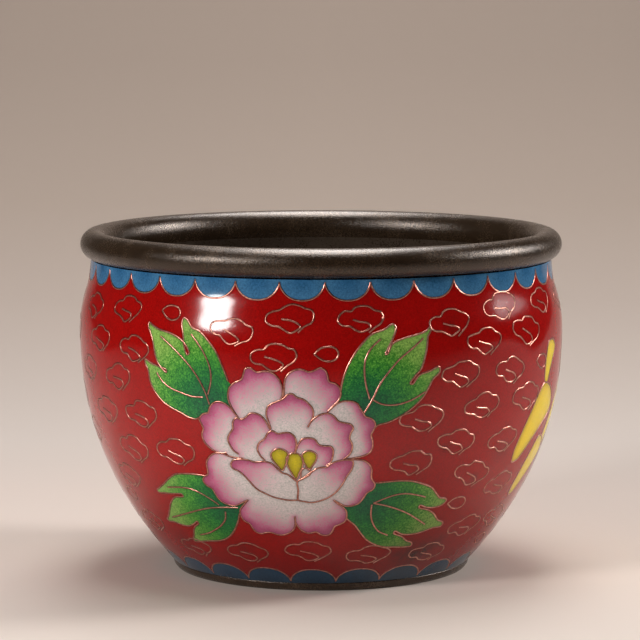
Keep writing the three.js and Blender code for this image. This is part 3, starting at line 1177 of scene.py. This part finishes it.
def enamel_material(name, stops, grain, blur, edge_dark, edge_colour):
    """Fired enamel: a tinted fade broken up by grain, dark beside the wires, with painted shade towards the
    foot, glossy with fine pits.
    """
    s = Shader(name, IOR=1.44)
    tint, edge, stain = s.paint()
    fine = s.noise(ENAMEL_GRAIN, 2.0, 0.8)
    broad = s.noise(ENAMEL_CLOUDING, 3.0, 0.55)
    shift = s.about(broad, blur * 0.3, s.about(fine, blur, tint))
    colour = s.ramp(shift, stops)
    cloudy = s.about(broad, grain * 0.2, s.about(fine, grain, 1.0))
    colour = s.scale(colour, cloudy)
    amount = s.math("MULTIPLY", s.math("POWER", edge, 2.0), edge_dark, clamp=True)
    colour = s.mix(amount, colour, edge_colour)
    # Painted shade: the colour darkens towards the bottom of the bowl, to half its value at the foot
    low_painted_shade = s.ramp(s.axis("Z"), [(0.002, s.grey(0.50)), (0.026, s.grey(1.0))])
    colour = s.mix(1.0, colour, low_painted_shade, "MULTIPLY")
    patchy = s.math("MULTIPLY", stain, s.math("MULTIPLY_ADD", broad, 2.4, -0.55, clamp=True), clamp=True)
    stain_brown = srgb(34, 22, 18)
    colour = s.mix(patchy, colour, stain_brown)
    s.link(colour, s.surface.inputs["Base Color"])
    wear = s.noise(ENAMEL_WEAR, 4.0, 0.6)
    s.link(s.math("MULTIPLY_ADD", wear, 0.12, 0.06), s.surface.inputs["Roughness"])
    pits = s.ramp(s.noise(ENAMEL_PITS, 2.0, 0.5), [(0.24, s.grey(0.0)), (0.34, s.grey(1.0))])
    waves = s.noise(ENAMEL_WAVES, 1.0, 0.4)
    s.bump(s.math("MULTIPLY_ADD", waves, 2.6, pits), 0.010, 0.5)
    return s.material


def make_enamels():
    pale = srgb(222, 214, 210)
    pales = [(0.0, pale), (1.0, srgb(196, 178, 172))]
    reds = [(0.0, srgb(166, 10, 8)), (1.0, srgb(150, 10, 9))]
    blues = [(0.0, srgb(46, 100, 144)), (0.9, srgb(70, 124, 166))]
    deep_blues = [(0.0, srgb(38, 72, 100)), (0.9, srgb(50, 88, 118))]
    pinks = [(0.0, pale), (0.26, srgb(222, 204, 204)), (0.50, srgb(216, 162, 176)),
             (0.74, srgb(206, 116, 150)), (1.0, srgb(180, 80, 120))]
    yellow_greens = [(0.0, srgb(214, 196, 30)), (1.0, srgb(176, 158, 18))]
    greens = [(0.0, srgb(18, 96, 64)), (0.35, srgb(32, 124, 58)), (0.62, srgb(78, 160, 56)),
              (0.95, srgb(146, 190, 92))]
    yellows = [(0.0, srgb(252, 224, 16)), (0.7, srgb(246, 212, 14)), (1.0, srgb(206, 170, 18))]
    return {
        "ground": enamel_material("red_enamel", reds, 1.2, 0.0, 0.35, srgb(60, 6, 5)),
        "upper_lappets": enamel_material("blue_enamel", blues, 1.2, 0.6, 0.5, srgb(20, 34, 52)),
        "lower_lappets": enamel_material("deep_blue_enamel", deep_blues, 1.2, 0.6, 0.5, srgb(20, 30, 44)),
        "peony_petals": enamel_material("petal_enamel", pinks, 1.2, 1.0, 0.55, srgb(104, 56, 60)),
        "stamens": enamel_material("yellow_green_enamel", yellow_greens, 0.9, 0.4, 0.8, srgb(84, 66, 10)),
        "pale_drop": enamel_material("pale_enamel", pales, 0.6, 0.5, 0.8, srgb(92, 56, 50)),
        "leaves": enamel_material("leaf_enamel", greens, 1.7, 0.9, 0.55, srgb(20, 40, 16)),
        "yellow_strokes": enamel_material("yellow_enamel", yellows, 0.5, 0.3, 0.5, srgb(110, 70, 14)),
    }


def mottled_material(name, mottle, stops, **plain):
    s = Shader(name, **plain)
    s.link(s.ramp(s.noise(mottle, 3.0), stops), s.surface.inputs["Base Color"])
    return s.material


def wire_materials():
    copper = [(0.3, srgb(170, 102, 86)), (0.7, srgb(232, 170, 152))]
    # Colours of the dark flanks along the wires
    dark_flank_tones = [(0.3, srgb(34, 14, 10)), (0.75, srgb(74, 26, 18))]
    return [mottled_material("wire_copper", WIRE_MOTTLE, copper, Metallic=1.0, Roughness=0.30),
            mottled_material("wire_dark_flank", DARK_FLANK_MOTTLE, dark_flank_tones, Roughness=0.5)]


def patina_material(name, metal, tones, pit_colour, roughness):
    """Dark patina over worn bronze, with fine pits and rubbed high spots."""
    s = Shader(name, Metallic=metal, IOR=1.68)
    broad = s.noise(PATINA_MOTTLE, 4.0, 0.6)
    fine = s.noise(PATINA_GRAIN, 3.0, 0.75)
    tone = s.ramp(broad, [(0.30, tones[0]), (0.55, tones[1]), (0.75, tones[2])])
    pits = s.ramp(fine, [(0.34, s.grey(0.0)), (0.56, s.grey(1.0))])
    colour = s.mix(pits, pit_colour, tone)
    s.link(colour, s.surface.inputs["Base Color"])
    rough = s.math("MULTIPLY_ADD", s.math("ADD", broad, fine), 0.20, roughness - 0.20)
    s.link(rough, s.surface.inputs["Roughness"])
    s.bump(s.math("MULTIPLY_ADD", broad, 0.8, pits), 0.026, 0.6)
    return s.material


# Bowl

def add_body():
    run = rounded_run(meridian("metal_body"))
    points, faces = turned(run, BODY_SIDES)
    rim = patina_material("dark_patina", 0.40, (srgb(58, 42, 28), srgb(72, 55, 39), srgb(92, 74, 57)),
                          srgb(38, 27, 17), 0.25)
    dull = patina_material("dull_patina", 0.35, (srgb(78, 65, 54), srgb(88, 75, 63), srgb(100, 87, 75)),
                           srgb(64, 52, 42), 0.30)
    corners = points[np.array([f[0] for f in faces])]
    reach = np.hypot(corners[:, 0], corners[:, 1])
    coat_back = np.interp(corners[:, 2], wall.height, wall.radius) - INSIDE_DEPTH
    bare = (reach < coat_back) & (corners[:, 2] > INSIDE_FLOOR) & (corners[:, 2] < INSIDE_TOP)
    body = add_piece("bowl_body", points, faces, "patinated_metal", materials=[rim, dull],
                     indices=bare.astype(int).tolist())
    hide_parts("metal_body")


def build_bowl():
    rng = random.Random(CLOUD_SEED)
    art = Ornament()
    for turn, on_back in ((0.0, False), (BACK_TURN, True)):
        add_leaves(art, turn, on_back, side_veins=not on_back)
        add_peony(art, turn, on_back)
        add_stamens(art, turn, on_back)
    add_strokes(art)
    add_clouds(art, rng)
    add_lappets(art)
    pieces = add_enamel(art, make_enamels())
    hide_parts("enamel_coat")
    add_wires(art, wire_materials())
    add_body()


# Studio

FLOOR_LEFT = -0.45
FLOOR_RIGHT = 1.1
FLOOR_FRONT = -0.40
FLOOR_BACK = 0.085
SWEEP_HALF_WIDTH = 0.28
SWEEP_RADIUS = 0.55
SWEEP_TOP = 0.9
FLOOR_STEPS = 8
CURVE_STEPS = 32
# Where the ramps of the paper's painted shade start, in metres
SHADE_RAMP_FRONT = -0.4
SHADE_RAMP_LEFT = -0.5
LAMP_AIM = 0.04
FILL_STRENGTH = 0.07


def add_sweep():
    """Pale floor with painted shade, wider than the backdrop that it curves up into."""
    depth = FLOOR_BACK - FLOOR_FRONT
    line = [(FLOOR_FRONT + depth * i / FLOOR_STEPS, 0.0) for i in range(FLOOR_STEPS + 1)]
    for i in range(1, CURVE_STEPS + 1):
        a = math.pi / 2 * i / CURVE_STEPS
        line.append((FLOOR_BACK + SWEEP_RADIUS * math.sin(a), SWEEP_RADIUS * (1 - math.cos(a))))
    line.append((FLOOR_BACK + SWEEP_RADIUS, SWEEP_TOP))
    points, faces = [], []
    for y, z in line:
        left, right = (FLOOR_LEFT, FLOOR_RIGHT) if z == 0 else (-SWEEP_HALF_WIDTH, SWEEP_HALF_WIDTH)
        points += [(left / MM, y / MM, z / MM), (right / MM, y / MM, z / MM)]
    for i in range(len(line) - 1):
        faces.append((2 * i, 2 * i + 1, 2 * i + 3, 2 * i + 2))
    s = Shader("studio_paper_painted_shade", Roughness=0.9)
    # Painted shade on the paper: its colour darkens to near black towards the front edge and darkens from the
    # floor up the backdrop, standing in for the fall of the light; it also darkens towards both sides, sooner
    # on the right
    place = s.math("SUBTRACT", s.axis("Y"), SHADE_RAMP_FRONT, clamp=True)
    tones = [(0.16, (20, 17, 15)), (0.33, (229, 216, 206)), (0.48, (215, 200, 191)), (0.535, (205, 193, 185)),
             (0.643, (175, 160, 150)), (0.704, (161, 145, 133)), (0.777, (149, 133, 121)),
             (0.88, (143, 127, 115))]
    tone = s.ramp(place, [(at, srgb(*colour)) for at, colour in tones])
    across = s.math("SUBTRACT", s.axis("X"), SHADE_RAMP_LEFT, clamp=True)
    side_shade_greys = [(0.20, 0.35), (0.40, 1.0), (0.50, 1.0), (0.59, 0.91), (0.80, 0.35)]
    ends = s.ramp(across, [(at, s.grey(value)) for at, value in side_shade_greys])
    s.link(s.mix(1.0, tone, ends, "MULTIPLY"), s.surface.inputs["Base Color"])
    sweep = add_piece("studio_sweep", points, faces, materials=[s.material])


def add_lamp(name, azimuth, elevation, distance, size, watts, colour, shape="RECTANGLE", gloss_only=False):
    """Area lamp in a direction seen from the bowl; azimuth 0 is the camera's side, positive to +X.

    A gloss_only lamp gives reflections and lights nothing else.
    """
    a, e = math.radians(azimuth), math.radians(elevation)
    aim = Vector((0, 0, LAMP_AIM))
    spot = aim + distance * Vector((math.sin(a) * math.cos(e), -math.cos(a) * math.cos(e), math.sin(e)))
    data = bpy.data.lights.new(name, "AREA")
    data.shape = shape
    data.size, data.size_y = size
    data.energy = watts
    data.color = colour
    lamp = bpy.data.objects.new(name, data)
    lamp.location = spot
    lamp.visible_diffuse = not gloss_only
    lamp.rotation_euler = (aim - spot).to_track_quat("-Z", "Y").to_euler()
    bpy.context.scene.collection.objects.link(lamp)


def add_lights():
    warm = (1.0, 0.975, 0.95)
    add_lamp("key_lamp", -51.5, 18.5, 1.0, (0.28, 0.24), 6.2, (1.0, 0.98, 0.96), "ELLIPSE")
    add_lamp("back_softbox", 173, 76, 0.8, (0.26, 0.76), 3.6, (1.0, 0.99, 0.98))
    add_lamp("rim_card", 176, 76, 0.8, (0.34, 0.76), 8.0, (1.0, 0.99, 0.99), gloss_only=True)
    add_lamp("side_card", 104, 20, 0.8, (0.34, 0.26), 0.7, (1.0, 0.98, 0.97), gloss_only=True)
    add_lamp("side_softbox", 100, 23, 0.8, (0.20, 0.20), 4.3, warm)
    add_lamp("ceiling_softbox", 0, 90, 0.9, (1.0, 1.0), 0.8, warm)
    world = bpy.data.worlds.new("studio")
    world.use_nodes = True
    background = world.node_tree.nodes["Background"]
    background.inputs["Color"].default_value = srgb(196, 180, 170)
    background.inputs["Strength"].default_value = FILL_STRENGTH
    bpy.context.scene.world = world
    bpy.context.scene.view_settings.view_transform = "Standard"


def add_camera():
    data = bpy.data.cameras.new("camera")
    data.lens = CAMERA_LENS
    data.sensor_width = SENSOR_WIDTH
    data.clip_start = CLIP_START
    camera = bpy.data.objects.new("camera", data)
    camera.location = (CAMERA_ASIDE * MM, -CAMERA_DISTANCE * MM, CAMERA_HEIGHT * MM)
    camera.rotation_euler = (math.pi / 2 - CAMERA_PITCH, 0, 0)
    bpy.context.scene.collection.objects.link(camera)
    bpy.context.scene.camera = camera


add_camera()
build_bowl()
add_sweep()
add_lights()
bpy.context.view_layer.update()
